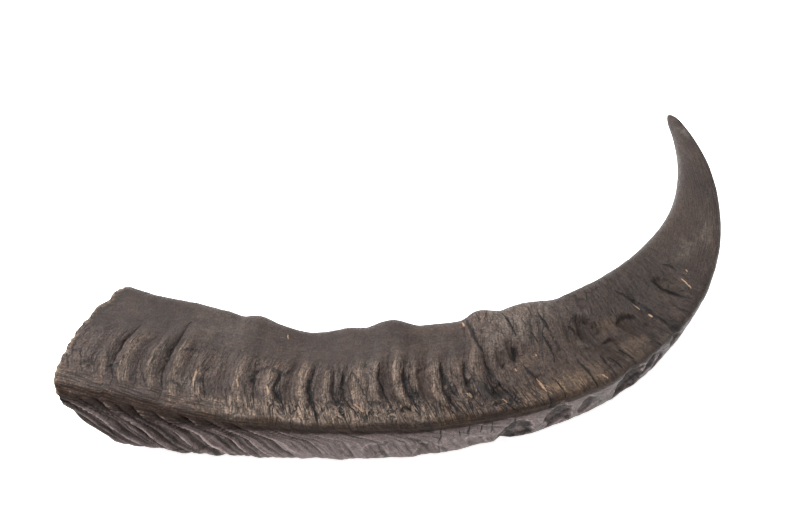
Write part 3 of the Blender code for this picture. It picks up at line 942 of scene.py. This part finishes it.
def floor_material(stage):
    """A white table lit from below."""
    material = bpy.data.materials.new("pale_floor")
    n = Nodes(material)
    n.shader.inputs["Base Color"].default_value = (*stage.floor_colour, 1.0)
    n.shader.inputs["Roughness"].default_value = 0.9
    n.shader.inputs["Specular IOR Level"].default_value = 0.1
    n.shader.inputs["Emission Color"].default_value = (1.0, 1.0, 1.0, 1.0)
    n.shader.inputs["Emission Strength"].default_value = stage.floor_glow
    return material


# ---- Settings ----

def number(name, default, what, **kind):
    return bpy.props.FloatProperty(name=name, default=default, description=what, **kind)


def size(name, default, what):
    return number(name, default, what, subtype="DISTANCE", unit="LENGTH", precision=4)


def share_of(name, default, what):
    return number(name, default, what, subtype="FACTOR", min=0.0, soft_max=2.0)


def colour(name, default, what):
    return bpy.props.FloatVectorProperty(name=name, default=default, description=what,
                                         subtype="COLOR", size=3, min=0.0, max=1.0)


def count(name, default, what):
    return bpy.props.IntProperty(name=name, default=default, description=what, min=3)


class HornShape(bpy.types.PropertyGroup):
    length: size("Length", 0.591, "Middle line of the horn, on the ground plan")
    girth: share_of("Girth", 1.0, "Width and thickness, as a share of the frame's")
    tip_rise: size("Tip rise", 0.0666, "How far the tip is lifted")
    rim_wall: size("Rim wall", 0.0028, "Thickness of the broken edge")
    rim_break: share_of("Broken edge", 1.0, "How ragged the rim is")
    rib_height: share_of("Rib height", 1.0, "Height of the growth ribs and grooves")
    crack_depth: size("Crack depth", 0.0008, "Depth of a crack of ordinary width")
    columns: count("Columns", 204, "Grid columns round the horn")
    hollow_rows: count("Hollow rows", 28, "Grid rows in the hollow")
    carved_rows: count("Carved rows", 390, "Grid rows over the ribbed stretch")
    tip_rows: count("Tip rows", 54, "Grid rows over the smooth tip")


class HornLooks(bpy.types.PropertyGroup):
    body: colour("Body", (0.074, 0.0485, 0.039), "Keratin where it is clean")
    body_dark: colour("Dark body", (0.047, 0.03, 0.0245), "Keratin in its darker patches")
    body_warm: colour("Warm body", (0.068, 0.0415, 0.029), "Keratin in its browner patches")
    umber: colour("Umber", (0.175, 0.112, 0.068), "Brown patches")
    keel_face: colour("Keel face", (0.148, 0.11, 0.103), "Face below the keel")
    # Painted sheen: on the flutes' tops and on the rims of the dents below the keel.
    painted_sheen: colour("Flute tops", (0.33, 0.252, 0.238), "Rubbed tops of the flutes")
    # Also the painted shade in the band below the keel and in the flutes' valleys.
    keel_brown_and_shade: colour("Keel band", (0.014, 0.006, 0.003), "Band just below the keel")
    crest: colour("Crest", (0.25, 0.18, 0.133), "Rubbed crests of the ribs")
    tan: colour("Tan", (0.25, 0.165, 0.11), "Flecks and shoulders")
    scar: colour("Scar", (0.42, 0.26, 0.15), "Fresh scars")
    # Also the painted shade in the grooves and dents.
    dirt_and_shade: colour("Dirt", (0.01, 0.008, 0.007), "Grooves")
    crack: colour("Crack", (0.003, 0.002, 0.002), "Inside of the cracks")
    dust: colour("Dust", (0.19, 0.155, 0.132), "Dusty patches")
    rim: colour("Rim", (0.3, 0.22, 0.16), "Broken edge")
    hollow: colour("Hollow", (0.04, 0.028, 0.02), "Inside of the hollow")
    hollow_light: colour("Pale hollow", (0.08, 0.056, 0.04), "Paler patches inside")
    roughness: share_of("Roughness", 0.6, "Mean roughness of the keratin")
    shine: share_of("Shine", 0.3, "Strength of the surface's gloss")
    wrinkle_depth: size("Wrinkle depth", 0.0012, "Depth of fibres and wrinkles")
    grain_depth: size("Grain depth", 0.00032, "Depth of the finest grain")
    crack_bump: size("Crack edge", 0.001, "Depth of a crack's edge")


class StageLooks(bpy.types.PropertyGroup):
    floor_colour: colour("Floor", (0.92, 0.92, 0.92), "Colour of the floor")
    floor_glow: number("Floor glow", 0.85, "Light of the bright table", min=0.0)
    floor_size: size("Floor size", 6.0, "Side of the floor")
    camera_distance: size("Camera distance", 1.166, "From the camera to the horn")
    camera_height: number("Camera height", math.radians(42),
                          "Elevation of the camera above the floor", subtype="ANGLE")
    lens: number("Lens", 70.0, "Focal length in mm")
    key_power: number("Key light", 118.0, "Soft light from the left", unit="POWER")
    top_power: number("Top light", 118.0, "Broad light overhead", unit="POWER")
    sky: number("Room light", 0.35, "Even light of the room", min=0.0)


# ---- Operators ----

class HORN_OT_sheath(bpy.types.Operator):
    """Model the horn sheath as one seamless shell and give it its keratin"""
    bl_idname = "horn.sheath"
    bl_label = "Horn Sheath"

    def execute(self, context):
        horn = context.scene.horn_shape
        spots, lie, marks = sheath_surface(horn)
        rows, columns = spots.shape[:2]
        bm = bmesh.new()
        bmesh.ops.create_grid(bm, x_segments=columns - 1, y_segments=rows - 1, size=1.0)
        bm.verts.ensure_lookup_table()
        grid = np.array([vert.co for vert in bm.verts])
        column = np.rint((grid[:, 0] + 1) / 2 * (columns - 1)).astype(int)
        row = np.rint((grid[:, 1] + 1) / 2 * (rows - 1)).astype(int)
        for end in (0, rows - 1):
            spots[end] = spots[end, :-1].mean(axis=0)
        layers = {name: bm.verts.layers.float.new(name) for name in marks}
        placed = spots[row, column]
        values = {name: marks[name][row, column] for name in marks}
        lies = lie[row, column]
        lie_layer = bm.loops.layers.uv.new("HornLie")
        for face in bm.faces:
            for loop in face.loops:
                loop[lie_layer].uv = lies[loop.vert.index]
        for vert in bm.verts:
            vert.co = placed[vert.index]
            for name, layer in layers.items():
                vert[layer] = values[name][vert.index]
        bmesh.ops.remove_doubles(bm, verts=bm.verts, dist=SAME_PLACE)
        bmesh.ops.recalc_face_normals(bm, faces=bm.faces)
        mesh = bpy.data.meshes.new("horn_sheath")
        bm.to_mesh(mesh)
        bm.free()
        mesh.shade_smooth()
        mesh.materials.append(keratin_material(context.scene.horn_looks, marks))
        sheath = bpy.data.objects.new("horn_sheath", mesh)
        context.scene.collection.objects.link(sheath)
        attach(sheath, "root")
        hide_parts(*HORN_NODES)
        return {"FINISHED"}


def soft_light(name, power, side, place):
    """A square area light that faces the horn."""
    light = bpy.data.lights.new(name, "AREA")
    light.energy = power
    light.size = side
    lamp = bpy.data.objects.new(name, light)
    lamp.location = place
    lamp.rotation_euler = (-Vector(place)).to_track_quat("-Z", "Y").to_euler()
    bpy.context.scene.collection.objects.link(lamp)


class HORN_OT_stage(bpy.types.Operator):
    """Set the floor, the soft lights and the camera"""
    bl_idname = "horn.stage"
    bl_label = "Stage"

    def execute(self, context):
        scene, stage = context.scene, context.scene.horn_stage
        bm = bmesh.new()
        bmesh.ops.create_grid(bm, x_segments=1, y_segments=1, size=stage.floor_size / 2)
        mesh = bpy.data.meshes.new("floor")
        bm.to_mesh(mesh)
        bm.free()
        mesh.materials.append(floor_material(stage))
        floor = bpy.data.objects.new("floor", mesh)
        scene.collection.objects.link(floor)

        world = bpy.data.worlds.new("room")
        world.use_nodes = True
        background = world.node_tree.nodes["Background"].inputs
        background["Color"].default_value = (1, 1, 1, 1)
        background["Strength"].default_value = stage.sky
        scene.world = world
        soft_light("key_light", stage.key_power, KEY_SIDE, KEY_PLACE)
        soft_light("top_light", stage.top_power, TOP_SIDE, TOP_PLACE)

        camera = bpy.data.objects.new("camera", bpy.data.cameras.new("camera"))
        camera.data.lens = stage.lens
        camera.data.sensor_width = SENSOR_WIDTH
        camera.rotation_euler = Euler((math.pi / 2 - stage.camera_height, 0, 0))
        middle = (CAD_BOX[0] + CAD_BOX[1]) / 2
        target = Vector((middle.x + AIM[0], middle.y + AIM[1], 0.0))
        back = Vector((0, -math.cos(stage.camera_height), math.sin(stage.camera_height)))
        camera.location = target + back * stage.camera_distance
        scene.collection.objects.link(camera)
        scene.camera = camera
        scene.view_settings.view_transform = "Standard"
        return {"FINISHED"}


class HORN_PT_panel(bpy.types.Panel):
    """Lists the steps and their settings"""
    bl_idname = "HORN_PT_panel"
    bl_label = "Buffalo Horn"
    bl_space_type = "VIEW_3D"
    bl_region_type = "UI"
    bl_category = "Horn"

    def draw(self, context):
        for step, group in (("horn.sheath", "horn_shape"), ("horn.sheath", "horn_looks"),
                            ("horn.stage", "horn_stage")):
            settings = getattr(context.scene, group)
            column = self.layout.column(align=True)
            for name in settings.__annotations__:
                column.prop(settings, name)
            self.layout.operator(step)


GROUPS = {"horn_shape": HornShape, "horn_looks": HornLooks, "horn_stage": StageLooks}
STEPS_AND_PANEL = (HORN_OT_sheath, HORN_OT_stage, HORN_PT_panel)


def register():
    for name, group in GROUPS.items():
        bpy.utils.register_class(group)
        setattr(bpy.types.Scene, name, bpy.props.PointerProperty(type=group))
    for cls in STEPS_AND_PANEL:
        bpy.utils.register_class(cls)


def unregister():
    for cls in reversed(STEPS_AND_PANEL):
        bpy.utils.unregister_class(cls)
    for name, group in reversed(GROUPS.items()):
        delattr(bpy.types.Scene, name)
        bpy.utils.unregister_class(group)


def main():
    register()
    bpy.ops.horn.sheath()
    bpy.ops.horn.stage()


if __name__ == "__main__":
    main()
